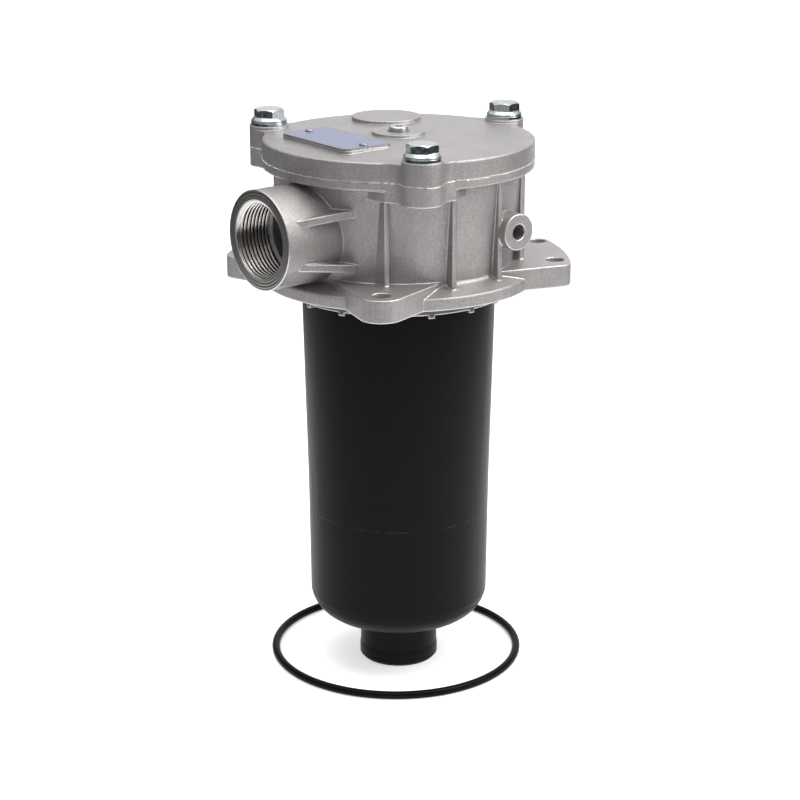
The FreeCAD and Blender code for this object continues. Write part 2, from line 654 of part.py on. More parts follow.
plate_pad = plate_sketch(cover, "plate_pad_outline", "joint_level + pad_level - plate_thickness")
plate_outline(plate_pad)
extrude(cover, plate_pad, "plate_pad", "pad_level - cover_edge", reverse=True)
doc.recompute()
bolt_clearance = new_sketch(cover, "cover_bolt_clearance", "XY_Plane", "joint_level + spot_level")
for degrees in bolt_angles:
    spot = polar(size("bolt_circle_radius"), degrees)
    circle(bolt_clearance, (spot.x, spot.y), "bolt_hole_radius")
cut(cover, extrude(cover, bolt_clearance, "cover_bolt_bores", "spot_level + cut_margin", "Pocket"))
plug_hole = new_sketch(cover, "plug_hole_outline", "XY_Plane", "joint_level + pad_level")
circle(plug_hole, (0.0, 0.0), "plug_radius + thread_gap")
cut(cover, extrude(cover, plug_hole, "plug_hole", "pad_level + cut_margin", "Pocket"))
rivet_holes = plate_sketch(cover, "rivet_holes_outline", "joint_level + pad_level")
for side in (-0.5, 0.5):
    circle(rivet_holes, (0.0, side * size("rivet_spacing")), "rivet_radius + thread_gap")
cut(cover, extrude(cover, rivet_holes, "rivet_holes", "plate_thickness + rivet_length + 0.5", "Pocket"))

# Fastenings of the cover.
bolts = new_body("cover_bolts")
bolts.Placement = Placement(Vector(0, 0, 0), Rotation(Vector(0, 0, 1), size("bolt_start_angle")))
seat_level = joint + size("spot_level") + size("washer_thickness")
bolt_tip = seat_level - size("bolt_length")
shank = new_sketch(bolts, "bolt_profile", "XZ_Plane")
head_radius = size("hexagon_flats") / math.sqrt(3.0)
flange_r, flange_h = size("bolt_flange_radius"), size("bolt_flange_height")
bolt_r = size("bolt_radius")
outline(
    shank,
    (0.0, bolt_tip),
    (bolt_r - 1.0, bolt_tip),
    (bolt_r, bolt_tip + 1.0),
    (bolt_r, seat_level),
    (flange_r - 0.4, seat_level),
    (flange_r, seat_level + 0.4),
    (flange_r, seat_level + flange_h * 0.55),
    (head_radius, seat_level + flange_h + 0.6),
    (0.0, seat_level + flange_h + 0.6),
)
shank.setExpression("AttachmentOffset.Base.x", cell("bolt_circle_radius"))
turned = sweep_round(bolts, shank, "bolt_shank")
hexagon = new_sketch(bolts, "hexagon_outline", "XY_Plane", "joint_level + spot_level + washer_thickness")
corners = [polar(head_radius, 60.0 * step + size("hexagon_turn")) for step in range(6)]
outline(hexagon, *[(size("bolt_circle_radius") + point.x, point.y) for point in corners])
hex_pad = extrude(bolts, hexagon, "hexagon", "bolt_head_height")
doc.recompute()
bevel = new_sketch(bolts, "hexagon_bevel", "XZ_Plane")
bevel.setExpression("AttachmentOffset.Base.x", cell("bolt_circle_radius"))
head_top = seat_level + size("bolt_head_height")
flat = size("hexagon_flats") / 2
outline(
    bevel,
    (flat - 0.3, head_top),
    (head_radius + 1.0, head_top - (head_radius + 1.0 - flat + 0.3) * 0.62),
    (head_radius + 1.0, head_top + 1.0),
    (flat - 0.3, head_top + 1.0),
)
bevel_cut = sweep_round(bolts, bevel, "bevel", "Groove")
cut(bolts, bevel_cut)
repeat_round(bolts, [turned, hex_pad, bevel_cut], "bolts", 3)
doc.recompute()

washers = new_body("bolt_washers")
washer = new_sketch(washers, "washer_outline", "XY_Plane", "joint_level + spot_level")
for degrees in bolt_angles:
    spot = polar(size("bolt_circle_radius"), degrees)
    circle(washer, (spot.x, spot.y), "washer_radius")
    circle(washer, (spot.x, spot.y), "bolt_hole_radius")
extrude(washers, washer, "washers", "washer_thickness")

cover_seal = new_body("cover_seal")
seal_ring = ring_profile(
    cover_seal, "cover_seal_profile", size("cover_groove_radius"), size("cover_groove_width") - 0.6,
    joint - size("cover_groove_depth"), joint,
)
sweep_round(cover_seal, seal_ring, "cover_seal_ring")

nameplate = new_body("nameplate")
plate = plate_sketch(nameplate, "nameplate_outline", "joint_level + pad_level - plate_thickness")
plate_outline(plate)
for side in (-0.5, 0.5):
    circle(plate, (0.0, side * size("rivet_spacing")), "rivet_radius + thread_gap")
extrude(nameplate, plate, "plate", "plate_thickness")

rivets = new_body("nameplate_rivets")
rivet_shank = plate_sketch(rivets, "rivet_shank_outline", "joint_level + pad_level")
rivet_head = plate_sketch(rivets, "rivet_head_outline", "joint_level + pad_level")
for side in (-0.5, 0.5):
    circle(rivet_shank, (0.0, side * size("rivet_spacing")), "rivet_radius")
    circle(rivet_head, (0.0, side * size("rivet_spacing")), "rivet_head_radius")
extrude(rivets, rivet_head, "rivet_heads", "rivet_radius")
extrude(rivets, rivet_shank, "rivet_shanks", "rivet_length", reverse=True)
doc.recompute()
plain_rivets = rivets.Tip
rivet_top = joint + size("pad_level") + size("rivet_radius")
rims = [
    f"Edge{number}"
    for number, edge in enumerate(plain_rivets.Shape.Edges, start=1)
    if edge.BoundBox.ZMin > rivet_top - 0.01
]
dome = rivets.newObject("PartDesign::Fillet", "rivet_domes")
dome.Base = (plain_rivets, rims)
dome.Radius = 1.0
doc.recompute()

plug_level = joint + size("pad_level") + size("plug_seal_thickness")
plug = new_body("cover_plug")
plug_profile = new_sketch(plug, "plug_profile", "XZ_Plane")
outline(
    plug_profile,
    (0.0, plug_level - size("plug_length")),
    (size("plug_radius") - 0.6, plug_level - size("plug_length")),
    (size("plug_radius"), plug_level - size("plug_length") + 0.6),
    (size("plug_radius"), plug_level),
    (size("plug_head_radius"), plug_level),
    (size("plug_head_radius"), plug_level + size("plug_head_height") - 0.5),
    (size("plug_head_radius") - 0.5, plug_level + size("plug_head_height")),
    (0.0, plug_level + size("plug_head_height")),
)
sweep_round(plug, plug_profile, "plug_body")
socket = new_sketch(
    plug, "socket_outline", "XY_Plane", "joint_level + pad_level + plug_seal_thickness + plug_head_height",
    turn=20.0,
)
points = [polar(size("plug_socket_flats") / math.sqrt(3.0), 60.0 * step) for step in range(6)]
outline(socket, *[(point.x, point.y) for point in points])
doc.recompute()
cut(plug, extrude(plug, socket, "socket", "plug_head_height * 1.5", "Pocket"))

plug_seal = new_body("plug_seal")
plug_ring = new_sketch(plug_seal, "plug_seal_outline", "XY_Plane", "joint_level + pad_level")
circle(plug_ring, (0.0, 0.0), "plug_seal_radius")
circle(plug_ring, (0.0, 0.0), "plug_radius + fit_gap")
extrude(plug_seal, plug_ring, "plug_seal_ring", "plug_seal_thickness")

# Bowl: drafted wall, rounded bottom, spout, and a flange that the collar of the head holds.
bowl = new_body("bowl")
flange_top = -size("seat_depth")
flange_low = flange_top - size("bowl_flange")
flange_radius = size("seat_radius") - size("fit_gap")
wall = size("bowl_wall")
top_r, waist_r, foot_r, base_r = (
    size("bowl_top_radius"), size("bowl_waist_radius"), size("bowl_foot_radius"), size("bowl_base_radius"),
)
waist, foot_level, base_level = -size("bowl_waist_level"), -size("bowl_foot_level"), -size("bowl_base_level")
mouth = -size("bowl_drop")
spout, spout_bore, spout_bead = size("spout_radius"), size("spout_bore_radius"), size("spout_bead")
socket_r, socket_top = size("socket_radius"), -size("socket_level")
groove_mid = (flange_top + flange_low) / 2
groove_half = size("bowl_groove_height") / 2
groove_in = flange_radius - size("bowl_groove_depth")
quarter = math.sqrt(0.5)
outer_bend = (base_r + (foot_r - base_r) * quarter, base_level + (foot_level - base_level) * (1.0 - quarter))
inner_foot, inner_base, inner_flat = foot_r - wall, base_level + wall, base_r - 1.0
inner_bend = (
    inner_flat + (inner_foot - inner_flat) * quarter,
    inner_base + (foot_level - inner_base) * (1.0 - quarter),
)
bowl_profile = new_sketch(bowl, "bowl_profile", "XZ_Plane")
outline(
    bowl_profile,
    (top_r - wall, flange_top),
    (flange_radius, flange_top),
    (flange_radius, groove_mid + groove_half),
    (groove_in, groove_mid + groove_half),
    (groove_in, groove_mid - groove_half),
    (flange_radius, groove_mid - groove_half),
    (flange_radius, flange_low),
    (top_r, flange_low),
    (waist_r, waist),
    (foot_r, foot_level),
    (base_r, base_level, *outer_bend),
    (spout + 1.0, base_level),
    (spout, base_level - 1.0, spout + 0.29, base_level - 0.29),
    (spout, mouth + 9.0),
    (spout + spout_bead, mouth + 7.0),
    (spout + spout_bead, mouth + 1.6),
    (spout - 1.0, mouth),
    (spout_bore, mouth),
    (spout_bore, socket_top),
    (socket_r, socket_top),
    (socket_r, inner_base),
    (inner_flat, inner_base),
    (inner_foot, foot_level, *inner_bend),
    (waist_r - wall, waist),
)
sweep_round(bowl, bowl_profile, "bowl_shell")

bowl_seal = new_body("bowl_seal")
bowl_ring = ring_profile(
    bowl_seal, "bowl_seal_profile", (groove_in + size("seat_radius")) / 2, size("seat_radius") - groove_in,
    groove_mid - groove_half + 0.2, groove_mid + groove_half - 0.2,
)
sweep_round(bowl_seal, bowl_ring, "bowl_seal_ring")

tank_seal = doc.addObject("Part::Torus", "tank_seal")
tank_seal.Label = "tank_seal"
tank_seal.setExpression("Radius1", cell("tank_seal_radius"))
tank_seal.setExpression("Radius2", cell("tank_seal_section"))
tank_seal.setExpression("Placement.Base.x", cell("tank_seal_x"))
tank_seal.setExpression("Placement.Base.y", cell("tank_seal_y"))
tank_seal.setExpression("Placement.Base.z", cell("tank_seal_section - bowl_drop"))

# Element: two end caps, pleats round a slotted core, and a seal on the bowl's inner tube.
cap_r, cap_t, skirt, skirt_wall = (
    size("cap_radius"), size("cap_thickness"), size("cap_skirt"), size("cap_skirt_wall"),
)
element_top = size("element_top")
media_top = element_top - cap_t
element_foot = element_top - size("element_length")
media_foot = element_foot + cap_t
valve_bore = size("valve_bore_radius")
spring_ring = size("hold_spring_radius") - size("hold_wire") / 2 - size("fit_gap")
top_cap = new_body("upper_end_cap")
top_profile = new_sketch(top_cap, "upper_cap_profile", "XZ_Plane")
outline(
    top_profile,
    (valve_bore, media_top),
    (cap_r - skirt_wall, media_top),
    (cap_r - skirt_wall, element_top - skirt),
    (cap_r, element_top - skirt),
    (cap_r, element_top - 1.0),
    (cap_r - 1.0, element_top, cap_r - 0.29, element_top - 0.29),
    (spring_ring, element_top),
    (spring_ring, element_top + 3.0),
    (spring_ring - 2.0, element_top + 3.0),
    (spring_ring - 2.0, element_top),
    (valve_bore, element_top),
)
sweep_round(top_cap, top_profile, "upper_cap")

hub_bore = socket_r + size("fit_gap")
hub_r = hub_bore + size("hub_wall")
hub_foot = element_foot - size("hub_length")
hub_mid = element_foot - size("hub_length") / 2
hub_half = size("hub_groove_height") / 2
hub_deep = hub_bore + size("hub_groove_depth")
foot_cap = new_body("lower_end_cap")
foot_profile = new_sketch(foot_cap, "lower_cap_profile", "XZ_Plane")
outline(
    foot_profile,
    (hub_bore, media_foot),
    (hub_bore, hub_mid + hub_half),
    (hub_deep, hub_mid + hub_half),
    (hub_deep, hub_mid - hub_half),
    (hub_bore, hub_mid - hub_half),
    (hub_bore, hub_foot),
    (hub_r, hub_foot),
    (hub_r, element_foot),
    (cap_r, element_foot),
    (cap_r, element_foot + skirt),
    (cap_r - skirt_wall, element_foot + skirt),
    (cap_r - skirt_wall, media_foot),
)
sweep_round(foot_cap, foot_profile, "lower_cap")

element_seal = new_body("element_seal")
element_ring = ring_profile(
    element_seal, "element_seal_profile", (socket_r + hub_deep) / 2, hub_deep - socket_r,
    hub_mid - hub_half + 0.2, hub_mid + hub_half - 0.2,
)
sweep_round(element_seal, element_ring, "element_seal_ring")

media = new_body("pleated_media")
pleats = new_sketch(media, "pleat_outline", "XY_Plane", "element_top - cap_thickness")
count = int(size("pleat_count"))
near, beyond, half_sheet = size("pleat_inner_radius"), size("pleat_outer_radius"), size("pleat_thickness") / 2
step = 360.0 / count
outside, inside = [], []
for index in range(count):
    tip_angle, root_angle = index * step, (index + 0.5) * step
    outside += [polar(beyond, tip_angle), polar(near + 2.2 * half_sheet, root_angle)]
    inside += [polar(beyond - 4.4 * half_sheet, tip_angle), polar(near, root_angle)]
outline(pleats, *[(point.x, point.y) for point in outside])
outline(pleats, *[(point.x, point.y) for point in inside])
extrude(media, pleats, "pleats", "element_length - 2 * cap_thickness", reverse=True)

core = new_body("core_tube")
tube = new_sketch(core, "core_outline", "XY_Plane", "element_top - cap_thickness")
circle(tube, (0.0, 0.0), "core_radius")
circle(tube, (0.0, 0.0), "core_radius - core_wall")
extrude(core, tube, "tube", "element_length - 2 * cap_thickness", reverse=True)
doc.recompute()
slots = new_sketch(core, "window_outline", "XZ_Plane")
half_w, window_h, pitch = size("window_width") / 2, size("window_height"), size("window_pitch")
rows = int((media_top - media_foot - 44.0 - window_h) / pitch) + 1
for index in range(rows):
    low = media_foot + 8.0 + index * pitch
    outline(slots, (-half_w, low), (half_w, low), (half_w, low + window_h), (-half_w, low + window_h))
windows = extrude(core, slots, "windows", "core_radius + 5", "Pocket", reverse=True)
cut(core, windows)
repeat_round(core, [windows], "window_columns_round", "window_columns")
doc.recompute()

# Bypass valve under the upper cap: oil pressure pushes the poppet down against its spring.
poppet_top = media_top
poppet_low = poppet_top - size("poppet_thickness")
cage_low = media_top - size("cage_depth")
cage_floor = cage_low + size("cage_base")
stem = size("stem_radius")
poppet = new_body("bypass_poppet")
poppet_profile = new_sketch(poppet, "poppet_profile", "XZ_Plane")
outline(
    poppet_profile,
    (0.0, poppet_top),
    (size("poppet_radius"), poppet_top),
    (size("poppet_radius"), poppet_low),
    (stem, poppet_low),
    (stem, poppet_low - size("stem_length")),
    (0.0, poppet_low - size("stem_length")),
)
sweep_round(poppet, poppet_profile, "poppet")

cage = new_body("bypass_cage")
cage_r, cage_wall = size("cage_radius"), size("cage_wall")
guide = stem + size("guide_gap")
cage_profile = new_sketch(cage, "cage_profile", "XZ_Plane")
outline(
    cage_profile,
    (cage_r, media_top),
    (cage_r, cage_low),
    (size("bush_radius"), cage_low),
    (size("bush_radius"), cage_low - size("bush_length")),
    (guide, cage_low - size("bush_length")),
    (guide, cage_floor),
    (cage_r - cage_wall, cage_floor),
    (cage_r - cage_wall, media_top),
)
sweep_round(cage, cage_profile, "cage_shell")
cage_window = new_sketch(cage, "cage_window_outline", "XZ_Plane")
half_window = size("cage_window_width") / 2
outline(
    cage_window,
    (-half_window, cage_floor + 3.0),
    (half_window, cage_floor + 3.0),
    (half_window, media_top - 4.0),
    (-half_window, media_top - 4.0),
)
doc.recompute()
side_window = extrude(cage, cage_window, "cage_window", "cage_radius + 5", "Pocket", reverse=True)
cut(cage, side_window)
repeat_round(cage, [side_window], "cage_windows", 4)
doc.recompute()


def coil(label, radius, wire, turns, low, high):
    """Flat-wire compression spring that bears on the levels low and high."""
    body = new_body(label)
    section = new_sketch(body, f"{label}_section", "XZ_Plane")
    near, beyond = radius - wire / 2, radius + wire / 2
    outline(section, (near, low), (beyond, low), (beyond, low + wire), (near, low + wire))
    spring = body.newObject("PartDesign::AdditiveHelix", f"{label}_coil")
    spring.Profile = section
    spring.ReferenceAxis = (section, ["V_Axis"])
    spring.Mode = "height-turns-angle"
    spring.Height = high - low - wire
    spring.Turns = turns


coil(
    "bypass_spring", size("valve_spring_radius"), size("valve_wire"), size("valve_turns"),
    cage_floor, poppet_low,
)
coil(
    "hold_down_spring", size("hold_spring_radius"), size("hold_wire"), size("hold_turns"),
    element_top, hollow_roof,
)

doc.recompute()
nodes = [item for item in doc.Objects if item.isDerivedFrom("PartDesign::Body")] + [tank_seal]
for item in doc.Objects:
    if "Invalid" in item.State or "Error" in item.State:
        raise RuntimeError(f"{item.Label} failed to recompute")
for node in nodes:
    if node.Shape.isNull() or not node.Shape.isValid():
        raise RuntimeError(f"{node.Label} has no valid shape")
os.makedirs("parts", exist_ok=True)
for node in nodes:
    node.Shape.exportStep(f"parts/{node.Label}.step")
    print(node.Label, len(node.Shape.Solids), round(node.Shape.Volume, 1))
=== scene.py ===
import math

import bmesh
import bpy
from mathutils import Matrix, Vector, noise


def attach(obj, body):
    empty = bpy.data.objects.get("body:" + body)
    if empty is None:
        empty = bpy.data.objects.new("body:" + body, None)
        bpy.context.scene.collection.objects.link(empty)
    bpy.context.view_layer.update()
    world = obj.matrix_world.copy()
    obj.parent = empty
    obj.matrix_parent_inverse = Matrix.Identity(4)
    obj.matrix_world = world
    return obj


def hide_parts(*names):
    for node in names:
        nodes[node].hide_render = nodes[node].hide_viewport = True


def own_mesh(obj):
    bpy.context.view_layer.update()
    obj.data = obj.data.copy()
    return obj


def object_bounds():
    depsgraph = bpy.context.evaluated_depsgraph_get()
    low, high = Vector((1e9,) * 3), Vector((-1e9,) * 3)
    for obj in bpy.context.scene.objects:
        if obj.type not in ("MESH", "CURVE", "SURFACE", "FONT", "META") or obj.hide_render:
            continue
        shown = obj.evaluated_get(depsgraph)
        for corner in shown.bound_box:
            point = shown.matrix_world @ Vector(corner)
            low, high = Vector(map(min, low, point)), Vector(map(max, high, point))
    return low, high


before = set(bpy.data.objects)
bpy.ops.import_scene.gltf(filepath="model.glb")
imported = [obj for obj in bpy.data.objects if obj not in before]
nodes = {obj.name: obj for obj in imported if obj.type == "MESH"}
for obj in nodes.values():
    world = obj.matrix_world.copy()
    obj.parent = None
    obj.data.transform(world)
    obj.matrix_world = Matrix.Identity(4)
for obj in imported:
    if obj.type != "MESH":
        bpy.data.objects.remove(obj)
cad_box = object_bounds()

MM = 0.001

# Studio: the filter stands on its spout in front of a white sweep, seen from slightly above with the
# inlet on the left. A small soft lamp close by at front right lights the inlet's barrel, and a large one
# hangs above. The upright metal mirrors a wall of grey cards round the front, the tops the white sweep.
camera_data = bpy.data.cameras.new("studio_camera")
camera_data.lens = 93.2
camera_data.sensor_width = 36.0
camera = bpy.data.objects.new("studio_camera", camera_data)
camera.location = (-0.7007, -0.8635, 0.28574)
camera.rotation_euler = (math.radians(72.185), 0.0, math.radians(-39.1))
bpy.context.collection.objects.link(camera)
bpy.context.scene.camera = camera
bpy.context.scene.view_settings.view_transform = "Standard"


def linear(code):
    """Linear colour of an sRGB hex code, with full alpha."""
    channels = [int(code[i:i + 2], 16) / 255 for i in (1, 3, 5)]
    return tuple(c / 12.92 if c <= 0.04045 else ((c + 0.055) / 1.055) ** 2.4 for c in channels) + (1.0,)


def add_node(tree, kind, inputs=None, **settings):
    """Adds one shader node. Each input is a plain value or the output socket that feeds it."""
    node = tree.nodes.new("ShaderNode" + kind)
    for name, value in settings.items():
        setattr(node, name, value)
    for socket, value in (inputs or {}).items():
        if isinstance(value, bpy.types.NodeSocket):
            tree.links.new(value, node.inputs[socket])
        else:
            node.inputs[socket].default_value = value
    return node


def new_finish(name):
    """An empty material with that name, and its node tree."""
    finish = bpy.data.materials.new(name)
    finish.use_nodes = True
    finish.node_tree.nodes.clear()
    return finish, finish.node_tree


def soft_lamp(name, place, aim, width, height, watts):
    """Rectangular lamp at a place, aimed at a point."""
    data = bpy.data.lights.new(name, "AREA")
    data.shape = "RECTANGLE"
    data.size, data.size_y, data.energy = width, height, watts
    lamp = bpy.data.objects.new(name, data)
    lamp.location = place
    lamp.rotation_euler = (Vector(aim) - Vector(place)).to_track_quat("-Z", "Y").to_euler()
    bpy.context.collection.objects.link(lamp)


soft_lamp("key_softbox", (0.26, -0.39, 0.38), (-0.08, 0.0, 0.035), 0.28, 0.5, 3.2)
soft_lamp("top_softbox", (-0.1, 0.0, 1.6), (0.0, 0.0, 0.0), 1.4, 1.4, 20.0)


def seen_directly(tree):
    """1 for rays that come from the camera, through glass or off a shiny face, and 0 for diffuse ones."""
    rays = add_node(tree, "LightPath")
    direct = add_node(tree, "Math", {0: rays.outputs["Is Camera Ray"],
                                     1: rays.outputs["Is Transmission Ray"]}, operation="ADD")
    return add_node(tree, "Math", {0: direct.outputs[0], 1: rays.outputs["Is Glossy Ray"]}, operation="ADD",
                    use_clamp=True).outputs[0]


# The sweep is pure white to the camera and in reflections. Its diffuse light is grey, brighter from above.
world = bpy.data.worlds.new("white_sweep")
world.use_nodes = True
bpy.context.scene.world = world
sky = world.node_tree
sky.nodes.clear()
around = add_node(sky, "TexCoord")
split = add_node(sky, "SeparateXYZ", {0: around.outputs["Generated"]})
height = add_node(sky, "MapRange", {"Value": split.outputs["Z"], "From Min": -0.3, "From Max": 0.8,
                                    "To Min": 0.35, "To Max": 0.75})
grey = add_node(sky, "CombineColor", {i: height.outputs[0] for i in range(3)})
shown = add_node(sky, "Mix", {"Factor": seen_directly(sky), 6: grey.outputs[0], 7: (1.0, 1.0, 1.0, 1.0)},
                 data_type="RGBA")
glow = add_node(sky, "Background", {"Color": shown.outputs[2], "Strength": 1.0})
add_node(sky, "OutputWorld", {"Surface": glow.outputs[0]})

# The floor is white paper that glows a little where it is seen directly, so only the shadow stays grey.
floor_finish, tree = new_finish("white_card")
lift = add_node(tree, "Math", {0: seen_directly(tree), 1: 0.5}, operation="MULTIPLY")
paper = add_node(tree, "BsdfDiffuse", {"Color": linear("#F4F4F4")})
shine = add_node(tree, "Emission", {"Color": (1.0, 1.0, 1.0, 1.0), "Strength": lift.outputs[0]})
both = add_node(tree, "AddShader", {0: paper.outputs[0], 1: shine.outputs[0]})
add_node(tree, "OutputMaterial", {"Surface": both.outputs[0]})


def stage_card(name, points, faces, finish):
    """Studio card. It isn't part of the filter."""
    mesh = bpy.data.meshes.new(name)
    mesh.from_pydata(points, [], faces)
    mesh.materials.append(finish)
    sheet = bpy.data.objects.new(name, mesh)
    bpy.context.collection.objects.link(sheet)
    return sheet


GROUND = -226.0 * MM
SWEEP = 6.0
stage_card("floor", [(-SWEEP, -SWEEP, GROUND), (SWEEP, -SWEEP, GROUND), (SWEEP, SWEEP, GROUND),
                     (-SWEEP, SWEEP, GROUND)], [(0, 1, 2, 3)], floor_finish)

# Card wall: part of a cylinder round the front, which only shiny faces see. Its grey depends on the bearing
# in degrees, 0 at the camera and growing to its right, and is multiplied by a factor for the height in
# millimetres. The upright facets of the bolts mirror the dark band below the level of the mounting face.
WALL_RADIUS, WALL_TOP, WALL_STEPS = 0.7, 0.4, 40
WALL_START, WALL_SPAN = -160.0, 300.0
CARD_LEVELS = ((-160, 0.3), (-125, 0.16), (-85, 0.08), (-50, 0.13), (-15, 0.15), (30, 0.12), (90, 0.12),
               (140, 0.17))
CARD_HEIGHTS = ((-226, 0.9), (-130, 0.8), (-85, 0.25), (-20, 0.25), (80, 1.1), (400, 1.4))
toward_camera = math.degrees(camera.rotation_euler.z) - 90.0
wall_finish, tree = new_finish("card_wall")
place = add_node(tree, "TexCoord")
turned = add_node(tree, "Mapping", {"Vector": place.outputs["Object"],
                                    "Rotation": (0.0, 0.0, math.radians(-toward_camera))})
axes = add_node(tree, "SeparateXYZ", {0: turned.outputs[0]})
bearing = add_node(tree, "Math", {0: axes.outputs["Y"], 1: axes.outputs["X"]}, operation="ARCTAN2")
along = add_node(tree, "MapRange", {"Value": bearing.outputs[0], "From Min": -math.pi, "From Max": math.pi})
upward = add_node(tree, "MapRange", {"Value": axes.outputs["Z"], "From Min": GROUND, "From Max": WALL_TOP})
level = add_node(tree, "ValToRGB", {"Fac": along.outputs[0]})
lift = add_node(tree, "ValToRGB", {"Fac": upward.outputs[0]})
stops = [(0.5 + degrees / 360.0, value) for degrees, value in CARD_LEVELS]
steps = [((height * MM - GROUND) / (WALL_TOP - GROUND), value) for height, value in CARD_HEIGHTS]
for ramp, entries in ((level.color_ramp, stops), (lift.color_ramp, steps)):
    while len(ramp.elements) < len(entries):
        ramp.elements.new(0.5)
    for stop, (position, value) in zip(ramp.elements, entries):
        stop.position = position
        stop.color = (value, value, value, 1.0)
dim = add_node(tree, "Emission", {"Color": level.outputs[0], "Strength": lift.outputs[0]})
add_node(tree, "OutputMaterial", {"Surface": dim.outputs[0]})
points = []
for step in range(WALL_STEPS + 1):
    angle = math.radians(toward_camera + WALL_START + WALL_SPAN * step / WALL_STEPS)
    x, y = WALL_RADIUS * math.cos(angle), WALL_RADIUS * math.sin(angle)
    points += [(x, y, GROUND), (x, y, WALL_TOP)]
faces = [(2 * i, 2 * i + 2, 2 * i + 3, 2 * i + 1) for i in range(WALL_STEPS)]
card_wall = stage_card("card_wall", points, faces, wall_finish)
card_wall.visible_camera = False
card_wall.visible_diffuse = False
card_wall.visible_shadow = False


# Filter head and cover: die-cast aluminium, shot-blasted after trimming. The skin is a neutral grey with
# a fine sandy grain, and the die's radii and the blasting round off every corner, which then catches the
# light. The inlet's face and the joint faces are turned or milled: darker, smoother and finely ringed.
INLET_FACE = 93.7 * MM
PORT_LEVEL = 34.6 * MM
JOINT_LEVEL = 68.1 * MM
CUT_DEPTH = 0.05 * MM
RING_PITCH = 1.6 * MM


def wear_finish(piece, finish):
    """Every face of a piece gets that finish."""
    piece.data.materials.clear()
    piece.data.materials.append(finish)


def cast_aluminium(name, light, dark, corner, rub, machined, painted_shade=None):
    """Shot-blasted casting with corners rounded by a radius, whose edges and hollow corners get a painted
    highlight, partly rubbed wear, by a share of 0 to 1.

    machined returns a mask of the cut faces, and the last argument a mask of the faces painted darker as
    shade.
    """
    finish, tree = new_finish(name)
    where = add_node(tree, "TexCoord").outputs["Object"]
    # Grit leaves dents of about 0.8 mm, the melt's flow patches of some 20 mm, and trimming and handling
    # upright scratches of 0.3 mm by several millimetres.
    grit = add_node(tree, "TexNoise", {"Vector": where, "Scale": 1250.0, "Detail": 3.0, "Roughness": 0.6})
    patch = add_node(tree, "TexNoise", {"Vector": where, "Scale": 50.0, "Detail": 4.0, "Roughness": 0.6})
    drawn = add_node(tree, "Mapping", {"Vector": where, "Scale": (1.0, 1.0, 0.06)})
    scratch = add_node(tree, "TexNoise", {"Vector": drawn.outputs[0], "Scale": 1600.0, "Detail": 2.0})
    skin = add_node(tree, "MapRange", {"Value": patch.outputs[0], "From Min": 0.3, "From Max": 0.7})
    tone = add_node(tree, "Mix", {"Factor": skin.outputs[0], 6: linear(dark), 7: linear(light)},
                    data_type="RGBA")
    fleck = add_node(tree, "Mix", {"Factor": 0.5, 6: tone.outputs[2], 7: grit.outputs[0]},
                     data_type="RGBA", blend_type="OVERLAY")
    streak = add_node(tree, "Mix", {"Factor": 0.2, 6: fleck.outputs[2], 7: scratch.outputs[0]},
                      data_type="RGBA", blend_type="OVERLAY")
    turned = machined(tree, where)
    cut = add_node(tree, "Mix", {"Factor": turned, 6: streak.outputs[2], 7: linear("#A09E9D")},
                   data_type="RGBA")
    # Painted shade: the collar under the mounting face is mixed towards a dark grey.
    if painted_shade:
        shade_mask = painted_shade(tree, where)
        cut = add_node(tree, "Mix", {"Factor": shade_mask, 6: cut.outputs[2], 7: linear("#656362")},
                       data_type="RGBA")
    smooth = add_node(tree, "MapRange", {"Value": turned, "To Min": 0.41, "To Max": 0.32})
    # The rounded edges and the hollow corners are made smoother, like metal rubbed in handling, and painted
    # brighter as a highlight.
    round_off = add_node(tree, "Bevel", {"Radius": corner}, samples=8)
    flat = add_node(tree, "NewGeometry")
    facing = add_node(tree, "VectorMath", {0: round_off.outputs[0], 1: flat.outputs["Normal"]},
                      operation="DOT_PRODUCT")
    edge = add_node(tree, "MapRange", {"Value": facing.outputs["Value"], "From Min": 0.985, "From Max": 0.9,
                                       "To Max": rub})
    # Painted highlight: the edges and the hollow corners are mixed towards a light grey.
    edge_highlight_and_wear = add_node(tree, "Mix", {"Factor": edge.outputs[0], 6: cut.outputs[2], 7: linear("#DEDCDB")},
                      data_type="RGBA")
    sheen = add_node(tree, "Mix", {"Factor": edge.outputs[0], 2: smooth.outputs[0], 3: 0.34},
                     data_type="FLOAT")
    fade = add_node(tree, "MapRange", {"Value": turned, "To Min": 0.8, "To Max": 0.1})
    bump = add_node(tree, "Bump", {"Height": grit.outputs[0], "Distance": 0.4 * MM,
                                   "Strength": fade.outputs[0], "Normal": round_off.outputs[0]})
    # The tool leaves fine rings round the inlet's axis on the cut face, drawn 1.6 mm apart so that they
    # show. The pattern has 20 radians of wave to the metre at a scale of 1.
    centred = add_node(tree, "Mapping", {"Vector": where, "Location": (0.0, 0.0, -PORT_LEVEL)})
    rings = add_node(tree, "TexWave", {"Vector": centred.outputs[0], "Scale": 2 * math.pi / (20 * RING_PITCH),
                                       "Distortion": 0.4}, wave_type="RINGS", rings_direction="X")
    groove = add_node(tree, "MapRange", {"Value": turned, "To Max": 0.35})
    lathe = add_node(tree, "Bump", {"Height": rings.outputs["Fac"], "Distance": 0.2 * MM,
                                    "Strength": groove.outputs[0], "Normal": bump.outputs[0]})
    # The blasted, oxidised skin scatters part of the light; where it is cut or rubbed it is bare metal.
    worn = add_node(tree, "Math", {0: edge.outputs[0], 1: turned}, operation="MAXIMUM")
    bare = add_node(tree, "MapRange", {"Value": worn.outputs[0], "To Min": 0.72, "To Max": 1.0})
    shader = add_node(tree, "BsdfPrincipled", {"Base Color": edge_highlight_and_wear.outputs[2], "Metallic": bare.outputs[0],
                                               "Roughness": sheen.outputs[0], "Normal": lathe.outputs[0]})
    add_node(tree, "OutputMaterial", {"Surface": shader.outputs[0]})
    return finish


